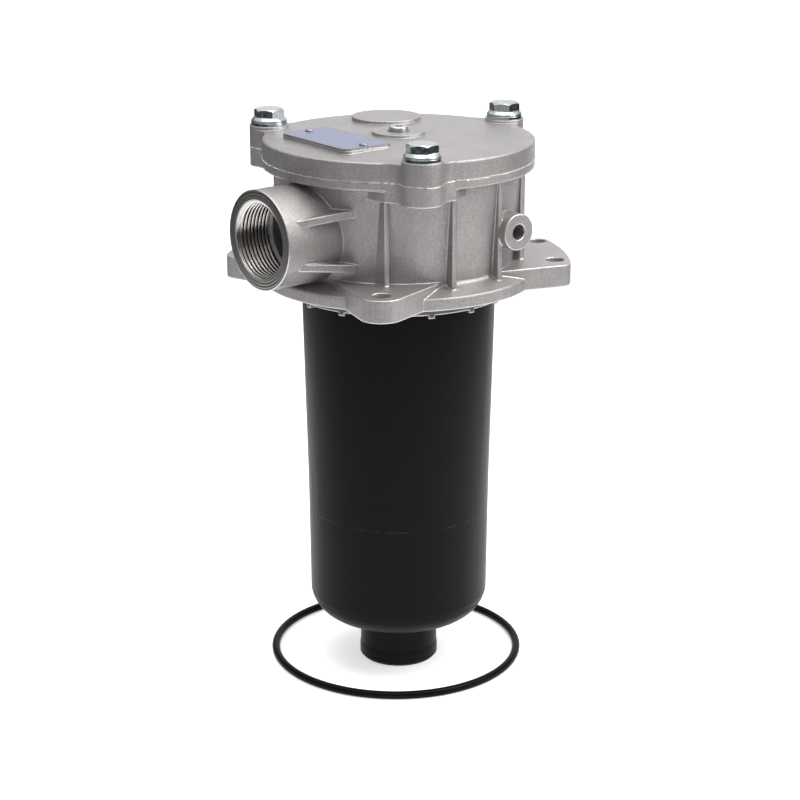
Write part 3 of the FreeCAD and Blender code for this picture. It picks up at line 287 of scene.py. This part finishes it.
def beyond(tree, value, limit, sign):
    """1 where value times sign is above limit, and 0 elsewhere."""
    signed = add_node(tree, "Math", {0: value, 1: sign}, operation="MULTIPLY")
    return add_node(tree, "Math", {0: signed.outputs[0], 1: limit}, operation="GREATER_THAN").outputs[0]


def head_machining(tree, where):
    """The turned face of the inlet and the milled face under the cover."""
    axes = add_node(tree, "SeparateXYZ", {0: where})
    inlet_face = beyond(tree, axes.outputs["X"], INLET_FACE - CUT_DEPTH, -1.0)
    joint_face = beyond(tree, axes.outputs["Z"], JOINT_LEVEL - CUT_DEPTH, 1.0)
    return add_node(tree, "Math", {0: inlet_face, 1: joint_face}, operation="MAXIMUM").outputs[0]


def collar_painted_shade(tree, where):
    """The collar under the mounting face, painted darker as the shade under the flange and inside the bowl.
    """
    axes = add_node(tree, "SeparateXYZ", {0: where})
    return beyond(tree, axes.outputs["Z"], 0.4 * MM, -1.0)


def cover_machining(tree, where):
    """The milled face that lies on the head, and the register below it."""
    axes = add_node(tree, "SeparateXYZ", {0: where})
    return beyond(tree, axes.outputs["Z"], -JOINT_LEVEL - CUT_DEPTH, -1.0)


head_finish = cast_aluminium("shot_blasted_head", "#AAA7A6", "#A09D9C", 1.3 * MM, 0.8, head_machining,
                             collar_painted_shade)
cover_finish = cast_aluminium("shot_blasted_cover", "#A3A09F", "#9A9796", 1.4 * MM, 0.12, cover_machining)
wear_finish(nodes["filter_head"], head_finish)
wear_finish(nodes["cover"], cover_finish)


def finish_mesh(mesh, name, finish, body):
    """Turns a bmesh into a piece that rides on a body and wears that finish."""
    data = bpy.data.meshes.new(name)
    mesh.to_mesh(data)
    mesh.free()
    data.materials.append(finish)
    piece = bpy.data.objects.new(name, data)
    bpy.context.collection.objects.link(piece)
    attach(piece, body)
    return piece


# Joint line between head and cover: a hair of casting flash stands out of it all round, broken in places,
# where the two trimmed edges meet. It is bright, because the trimming rubs it. Sizes in millimetres: the
# round rim, the ears of the three bolts, and the hollow curves of the same outline between the two.
RIM, EAR, EAR_FILLET, EAR_REACH = 74.0, 10.9, 11.0, 76.7
FAR = RIM + EAR_FILLET
FILLET_ANGLE = math.acos((FAR ** 2 + EAR_REACH ** 2 - (EAR + EAR_FILLET) ** 2) / (2 * FAR * EAR_REACH))
fillet_centre = Vector((FAR * math.cos(FILLET_ANGLE), FAR * math.sin(FILLET_ANGLE)))
on_ear = Vector((EAR_REACH, 0.0)) + (fillet_centre - Vector((EAR_REACH, 0.0))).normalized() * EAR
EAR_ANGLE = math.atan2(on_ear.y, on_ear.x)


def joint_radius(angle):
    """Radius of the outline of cover and head in that direction, in millimetres."""
    local = abs((angle + math.pi / 3) % (2 * math.pi / 3) - math.pi / 3)
    if local > FILLET_ANGLE:
        return RIM
    if local > EAR_ANGLE:
        off = local - FILLET_ANGLE
        return FAR * math.cos(off) - math.sqrt(EAR_FILLET ** 2 - (FAR * math.sin(off)) ** 2)
    return EAR_REACH * math.cos(local) + math.sqrt(EAR ** 2 - (EAR_REACH * math.sin(local)) ** 2)


FLASH_STEPS = 2400
FLASH_HEIGHT, FLASH_REACH, FLASH_ROOT = 0.42, 0.55, 0.3
mesh = bmesh.new()
rows = []
for i in range(FLASH_STEPS):
    angle = 2 * math.pi * i / FLASH_STEPS
    radius = joint_radius(angle)
    spot = Vector((math.cos(angle), math.sin(angle), 0.0)) * radius
    # Beads of some 3 mm carry nicks of under 1 mm, and the whole line wanders up and down by 0.12 mm.
    raggedness = noise.noise(spot * 0.35) + 0.8 * noise.noise(spot * 1.3)
    lip = FLASH_REACH * min(1.0, max(0.0, 0.35 + 1.6 * raggedness))
    half = FLASH_HEIGHT * (0.4 + 0.6 * lip / FLASH_REACH)
    wander = 0.12 * noise.noise(spot * 0.2)
    section = ((-FLASH_ROOT, half), (lip, 0.3 * half), (lip, -0.3 * half), (-FLASH_ROOT, -half))
    row = []
    for out, up in section:
        x, y = (radius + out) * math.cos(angle) * MM, (radius + out) * math.sin(angle) * MM
        # The front ear reaches the object's outline, so the flash is trimmed flush there.
        row.append(mesh.verts.new((x, max(y, cad_box[0][1]), JOINT_LEVEL + (wander + up) * MM)))
    rows.append(row)
for here, there in zip(rows, rows[1:] + rows[:1]):
    for j in range(3):
        mesh.faces.new((here[j], here[j + 1], there[j + 1], there[j]))
flash_finish, tree = new_finish("trimmed_flash")
where = add_node(tree, "TexCoord").outputs["Object"]
rub = add_node(tree, "TexNoise", {"Vector": where, "Scale": 600.0, "Detail": 2.0})
tone = add_node(tree, "Mix", {"Factor": rub.outputs[0], 6: linear("#D2CFCD"), 7: linear("#F2F0EE")},
                data_type="RGBA")
shader = add_node(tree, "BsdfPrincipled", {"Base Color": tone.outputs[2], "Metallic": 1.0,
                                           "Roughness": 0.38})
add_node(tree, "OutputMaterial", {"Surface": shader.outputs[0]})
finish_mesh(mesh, "joint_flash", flash_finish, "housing")

# Inlet thread: a pipe thread of 11 turns to the inch cut in the casting, 41.9 mm across, with rounded
# crests that catch the light. It is bare cut aluminium, a little oily.
PITCH = 25.4 / 11 * MM
THREAD_MAJOR = 20.9 * MM
THREAD_MINOR = 19.5 * MM
THREAD_MOUTH = -93.3 * MM
THREAD_END = -73.4 * MM
LEAD_IN = 0.6 * MM
FLAT = 0.08  # share of the rise that is flat at root and crest
AROUND_STEPS, TURN_STEPS = 128, 14
length_steps = int((THREAD_END - THREAD_MOUTH) / PITCH * TURN_STEPS)
mesh = bmesh.new()
rows = []
for i in range(length_steps + 1):
    x = THREAD_MOUTH + (THREAD_END - THREAD_MOUTH) * i / length_steps
    row = []
    for j in range(AROUND_STEPS):
        angle = 2 * math.pi * j / AROUND_STEPS
        phase = (x / PITCH - j / AROUND_STEPS) % 1.0
        rise = 1.0 - abs(2.0 * phase - 1.0)
        rise = 0.5 - 0.5 * math.cos(math.pi * min(1.0, max(0.0, (rise - FLAT) / (1.0 - 2.0 * FLAT))))
        fade = min(1.0, (x - THREAD_MOUTH) / LEAD_IN)
        radius = THREAD_MAJOR - (THREAD_MAJOR - THREAD_MINOR) * rise * fade
        row.append(mesh.verts.new((x, radius * math.cos(angle), PORT_LEVEL + radius * math.sin(angle))))
    rows.append(row)
for lower, upper in zip(rows, rows[1:]):
    for j in range(AROUND_STEPS):
        k = (j + 1) % AROUND_STEPS
        face = mesh.faces.new((lower[j], upper[j], upper[k], lower[k]))
        face.smooth = True
thread_finish, tree = new_finish("cut_aluminium_thread")
where = add_node(tree, "TexCoord").outputs["Object"]
chatter = add_node(tree, "TexNoise", {"Vector": where, "Scale": 400.0, "Detail": 2.0})
sheen = add_node(tree, "MapRange", {"Value": chatter.outputs[0], "To Min": 0.14, "To Max": 0.28})
shader = add_node(tree, "BsdfPrincipled", {"Base Color": linear("#CBC8C5"), "Metallic": 1.0,
                                           "Roughness": sheen.outputs[0]})
add_node(tree, "OutputMaterial", {"Surface": shader.outputs[0]})
finish_mesh(mesh, "inlet_thread", thread_finish, "housing")

# Cover bolts and washers: zinc plated steel, M10 with a 15 mm hexagon and a pressed flange. The
# plating is bright with a faint blue passivation and fine scratches from the spanner.
zinc_finish, tree = new_finish("blue_passivated_zinc")
where = add_node(tree, "TexCoord").outputs["Object"]
rub = add_node(tree, "TexNoise", {"Vector": where, "Scale": 500.0, "Detail": 4.0})
tint = add_node(tree, "Mix", {"Factor": rub.outputs[0], 6: linear("#C4CCCF"), 7: linear("#ABB3B4")},
                data_type="RGBA")
sheen = add_node(tree, "MapRange", {"Value": rub.outputs[0], "From Min": 0.3, "From Max": 0.7,
                                    "To Min": 0.14, "To Max": 0.28})
round_off = add_node(tree, "Bevel", {"Radius": 0.5 * MM}, samples=6)
bump = add_node(tree, "Bump", {"Height": rub.outputs[0], "Distance": 0.06 * MM, "Strength": 0.2,
                               "Normal": round_off.outputs[0]})
shader = add_node(tree, "BsdfPrincipled", {"Base Color": tint.outputs[2], "Metallic": 1.0,
                                           "Roughness": sheen.outputs[0], "Normal": bump.outputs[0]})
add_node(tree, "OutputMaterial", {"Surface": shader.outputs[0]})
for name in ("cover_bolts", "bolt_washers", "cover_plug"):
    wear_finish(nodes[name], zinc_finish)

# Nameplate: a thin aluminium plate, its face printed with a bare lilac blue field, held by two round
# rivets. Only the colour is printed, so there is nothing to read.
plate_finish, tree = new_finish("satin_aluminium_plate")
where = add_node(tree, "TexCoord").outputs["Object"]
lines = add_node(tree, "TexNoise", {"Vector": where, "Scale": 300.0, "Detail": 3.0})
sheen = add_node(tree, "MapRange", {"Value": lines.outputs[0], "To Min": 0.42, "To Max": 0.55})
shader = add_node(tree, "BsdfPrincipled", {"Base Color": linear("#949495"), "Metallic": 1.0,
                                           "Roughness": sheen.outputs[0]})
add_node(tree, "OutputMaterial", {"Surface": shader.outputs[0]})
for name in ("nameplate", "nameplate_rivets", "plug_seal"):
    wear_finish(nodes[name], plate_finish)
print_finish, tree = new_finish("lilac_blue_print")
where = add_node(tree, "TexCoord").outputs["Object"]
cloud = add_node(tree, "TexNoise", {"Vector": where, "Scale": 90.0, "Detail": 3.0})
ink = add_node(tree, "Mix", {"Factor": cloud.outputs[0], 6: linear("#5E6481"), 7: linear("#6C7290")},
               data_type="RGBA")
shader = add_node(tree, "BsdfPrincipled", {"Base Color": ink.outputs[2], "Metallic": 0.0, "Roughness": 0.4,
                                           "Coat Weight": 0.2})
add_node(tree, "OutputMaterial", {"Surface": shader.outputs[0]})
FIELD_WIDTH, FIELD_LENGTH, FIELD_CORNER = 28.4 * MM, 58.0 * MM, 3.2 * MM
FIELD_CENTRE, FIELD_TURN = (-39.6 * MM, 3.8 * MM, 81.63 * MM), -2.5
CORNER_STEPS = 8
mesh = bmesh.new()
rim = []
for sx, sy, start in ((1, 1, 0), (-1, 1, 90), (-1, -1, 180), (1, -1, 270)):
    for step in range(CORNER_STEPS + 1):
        angle = math.radians(start + step * 90 / CORNER_STEPS)
        rim.append((sx * (FIELD_WIDTH / 2 - FIELD_CORNER) + FIELD_CORNER * math.cos(angle),
                    sy * (FIELD_LENGTH / 2 - FIELD_CORNER) + FIELD_CORNER * math.sin(angle)))
turn = Matrix.Translation(FIELD_CENTRE) @ Matrix.Rotation(math.radians(FIELD_TURN), 4, "Z")
mesh.faces.new([mesh.verts.new(turn @ Vector((x, y, 0.0))) for x, y in rim])
finish_mesh(mesh, "nameplate_print", print_finish, "housing")


# Moulded pieces: the bowl is black polyamide, in one piece with its spout, matt with faint upright flow
# marks from filling the mould. The element's end caps and the bypass poppet are a dark grey grade.
FOOT_TOP, FOOT_END = -196 * MM, -203 * MM
WITNESS_DEPTH = 132 * MM


def moulded_polyamide(name, dark, light, specular):
    """Matt moulding with upright flow marks of some 8 mm and a fine spark-eroded grain."""
    finish, tree = new_finish(name)
    where = add_node(tree, "TexCoord").outputs["Object"]
    stretch = add_node(tree, "Mapping", {"Vector": where, "Scale": (1.0, 1.0, 0.12)})
    flow = add_node(tree, "TexNoise", {"Vector": stretch.outputs[0], "Scale": 120.0, "Detail": 5.0,
                                       "Roughness": 0.6})
    fine = add_node(tree, "TexNoise", {"Vector": where, "Scale": 1400.0, "Detail": 2.0})
    tone = add_node(tree, "Mix", {"Factor": flow.outputs[0], 6: linear(dark), 7: linear(light)},
                    data_type="RGBA")
    # Painted light: the spout below the bowl's foot is painted a little lighter, standing in for light from
    # the white floor below.
    rise = add_node(tree, "SeparateXYZ", {0: where})
    floor_light_mask = add_node(tree, "MapRange", {"Value": rise.outputs["Z"], "From Min": FOOT_TOP,
                                       "From Max": FOOT_END})
    tone_with_floor_light = add_node(tree, "Mix", {"Factor": floor_light_mask.outputs[0], 6: tone.outputs[2], 7: linear("#1B1A1B")},
                    data_type="RGBA")
    # The mould's stripper ring leaves a faint broken line round the wall, under 1 mm wide.
    off = add_node(tree, "Math", {0: rise.outputs["Z"], 1: WITNESS_DEPTH}, operation="ADD")
    near = add_node(tree, "Math", {0: off.outputs[0]}, operation="ABSOLUTE")
    line = add_node(tree, "MapRange", {"Value": near.outputs[0], "From Min": 0.6 * MM, "From Max": 0.2 * MM})
    gaps = add_node(tree, "MapRange", {"Value": flow.outputs[0], "From Min": 0.44, "From Max": 0.66})
    broken = add_node(tree, "Math", {0: line.outputs[0], 1: gaps.outputs[0]}, operation="MULTIPLY")
    tone_with_floor_light = add_node(tree, "Mix", {"Factor": broken.outputs[0], 6: tone_with_floor_light.outputs[2], 7: linear("#2E2D2F")},
                    data_type="RGBA")
    matt = add_node(tree, "MapRange", {"Value": flow.outputs[0], "From Min": 0.3, "From Max": 0.7,
                                       "To Min": 0.34, "To Max": 0.44})
    round_off = add_node(tree, "Bevel", {"Radius": 0.8 * MM}, samples=4)
    bump = add_node(tree, "Bump", {"Height": fine.outputs[0], "Distance": 0.03 * MM, "Strength": 0.4,
                                   "Normal": round_off.outputs[0]})
    shader = add_node(tree, "BsdfPrincipled", {"Base Color": tone_with_floor_light.outputs[2], "Roughness": matt.outputs[0],
                                               "Specular IOR Level": specular, "IOR": 1.5,
                                               "Normal": bump.outputs[0]})
    add_node(tree, "OutputMaterial", {"Surface": shader.outputs[0]})
    return finish


wear_finish(nodes["bowl"], moulded_polyamide("black_polyamide", "#08070A", "#121114", 0.08))
grey_polyamide = moulded_polyamide("grey_polyamide", "#2A2A2C", "#39393B", 0.5)
for name in ("upper_end_cap", "lower_end_cap", "bypass_poppet"):
    wear_finish(nodes[name], grey_polyamide)

# Seals: black nitrile rubber. The flange seal lies loose on the ground round the spout; the others
# are in their grooves. Moulded rubber is smooth with a soft shine.
rubber_finish, tree = new_finish("nitrile_rubber")
where = add_node(tree, "TexCoord").outputs["Object"]
bloom = add_node(tree, "TexNoise", {"Vector": where, "Scale": 180.0, "Detail": 3.0})
tone = add_node(tree, "Mix", {"Factor": bloom.outputs[0], 6: linear("#070706"), 7: linear("#0D0D0C")},
                data_type="RGBA")
shader = add_node(tree, "BsdfPrincipled", {"Base Color": tone.outputs[2], "Roughness": 0.4,
                                           "Specular IOR Level": 0.08, "IOR": 1.52})
add_node(tree, "OutputMaterial", {"Surface": shader.outputs[0]})
for name in ("tank_seal", "cover_seal", "bowl_seal", "element_seal"):
    wear_finish(nodes[name], rubber_finish)

# Filter element and springs: cream resin-bonded glass fibre pleats round a tinned core, with a pressed
# cage and wound springs of steel. All of it is hidden inside the bowl and the head.
media_finish, tree = new_finish("resin_bonded_glass_fibre")
where = add_node(tree, "TexCoord").outputs["Object"]
fibres = add_node(tree, "TexNoise", {"Vector": where, "Scale": 900.0, "Detail": 6.0, "Roughness": 0.7})
tone = add_node(tree, "Mix", {"Factor": fibres.outputs[0], 6: linear("#CFC6AB"), 7: linear("#F1EBDA")},
                data_type="RGBA")
felt = add_node(tree, "Bump", {"Height": fibres.outputs[0], "Distance": 0.2 * MM, "Strength": 0.5})
shader = add_node(tree, "BsdfPrincipled", {"Base Color": tone.outputs[2], "Roughness": 0.85,
                                           "Normal": felt.outputs[0]})
add_node(tree, "OutputMaterial", {"Surface": shader.outputs[0]})
wear_finish(nodes["pleated_media"], media_finish)
steel_finish, tree = new_finish("drawn_steel")
where = add_node(tree, "TexCoord").outputs["Object"]
drawn = add_node(tree, "TexNoise", {"Vector": where, "Scale": 700.0, "Detail": 3.0})
tone = add_node(tree, "Mix", {"Factor": drawn.outputs[0], 6: linear("#8E9093"), 7: linear("#B4B5B7")},
                data_type="RGBA")
sheen = add_node(tree, "MapRange", {"Value": drawn.outputs[0], "To Min": 0.25, "To Max": 0.42})
shader = add_node(tree, "BsdfPrincipled", {"Base Color": tone.outputs[2], "Metallic": 1.0,
                                           "Roughness": sheen.outputs[0]})
add_node(tree, "OutputMaterial", {"Surface": shader.outputs[0]})
for name in ("core_tube", "bypass_cage", "hold_down_spring"):
    wear_finish(nodes[name], steel_finish)

# Bypass spring: a wound steel wire in the cage, under the poppet. It stands on the cage's floor and shortens
# by the poppet's travel of 6 mm; here it is a copy of its solid with a mesh of its own.
wire = bpy.data.objects.new("bypass_coil", nodes["bypass_spring"].data.copy())
bpy.context.collection.objects.link(wire)
wear_finish(wire, steel_finish)
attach(wire, "housing")
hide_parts("bypass_spring")
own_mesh(wire)
